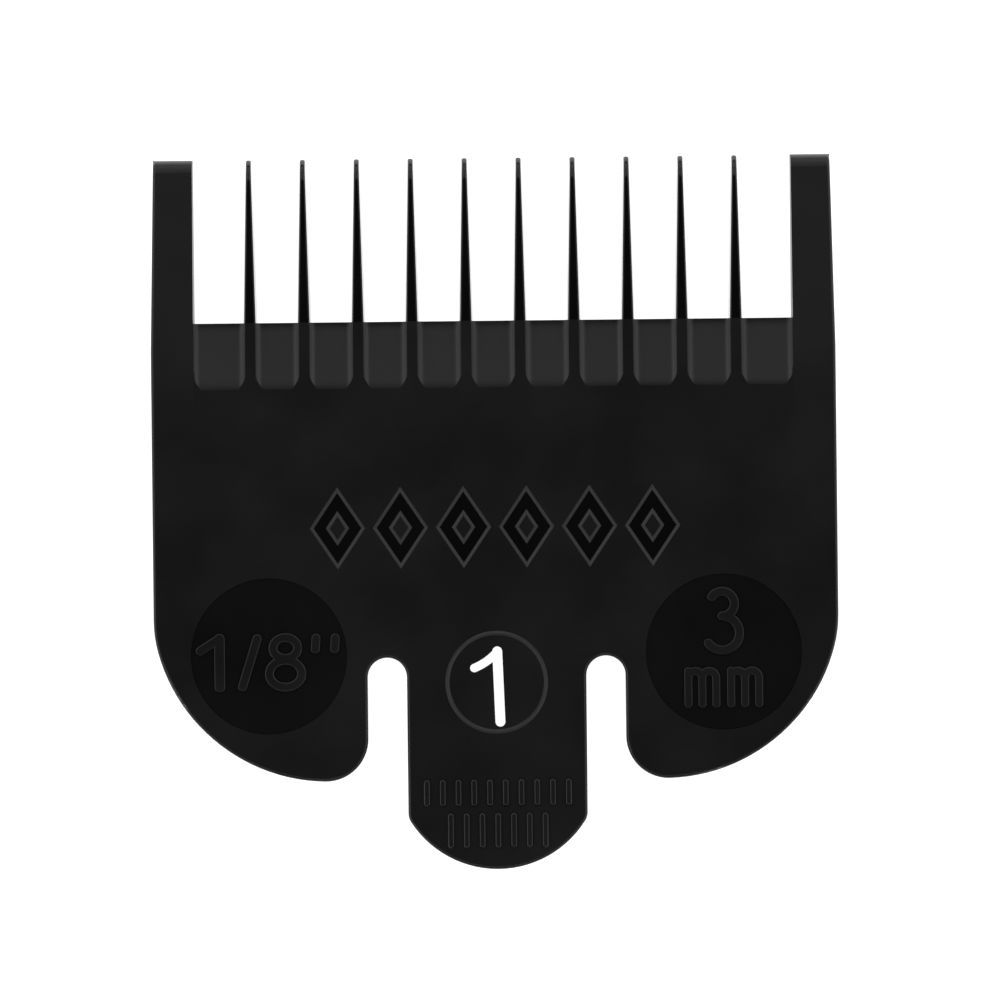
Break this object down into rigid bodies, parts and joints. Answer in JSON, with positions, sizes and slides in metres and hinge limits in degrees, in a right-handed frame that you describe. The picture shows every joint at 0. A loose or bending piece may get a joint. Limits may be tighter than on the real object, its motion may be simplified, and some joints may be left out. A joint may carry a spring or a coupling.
{
  "type": "clipper guard comb",
  "caption": "Moulded clip-on guard comb for a hair clipper, with thin spacing teeth, side walls for the blade and a flexing release tongue. 3 mm cut.",
  "frame": {"origin": "middle of the underside of the comb's bounding box: the comb lies blade side down on its two side walls", "axes": "+X across the comb, +Y towards the tooth tips, +Z out of the skin side (the face with the marks)"},
  "size_m": [0.05, 0.052, 0.0082],
  "materials": {
    "black_plastic": "fine spark-eroded texture, satin, and polished on the floors of the sunk marks"
  },
  "bodies": {
    "frame": {"back_plate": "black_plastic", "front_web": "black_plastic", "left_rail": "black_plastic", "right_rail": "black_plastic", "left_side_wall": "black_plastic", "right_side_wall": "black_plastic", "left_seat_ledge": "black_plastic", "right_seat_ledge": "black_plastic", "left_corner_hook": "black_plastic", "right_corner_hook": "black_plastic", "left_wing": "black_plastic", "right_wing": "black_plastic", "left_size_figures": "black_plastic", "right_size_figures": "black_plastic", "tooth_01": "black_plastic", "tooth_02": "black_plastic", "tooth_03": "black_plastic", "tooth_04": "black_plastic", "tooth_05": "black_plastic", "tooth_06": "black_plastic", "tooth_07": "black_plastic", "tooth_08": "black_plastic", "tooth_09": "black_plastic", "tooth_10": "black_plastic"},
    "tongue": {"tab_flexure": "black_plastic", "release_tab": "black_plastic", "latch_hook": "black_plastic", "thumb_grip": "black_plastic"}
  },
  "joints": [
    {"name": "tongue_flex", "type": "hinge", "parent": "frame", "child": "tongue", "pos_m": [0, -0.0122, 0.0072], "axis": [-1, 0, 0], "range_deg": [-3, 8], "stiffness_Nm_per_rad": 1.2, "deforming": ["tab_flexure"]}
  ]
}
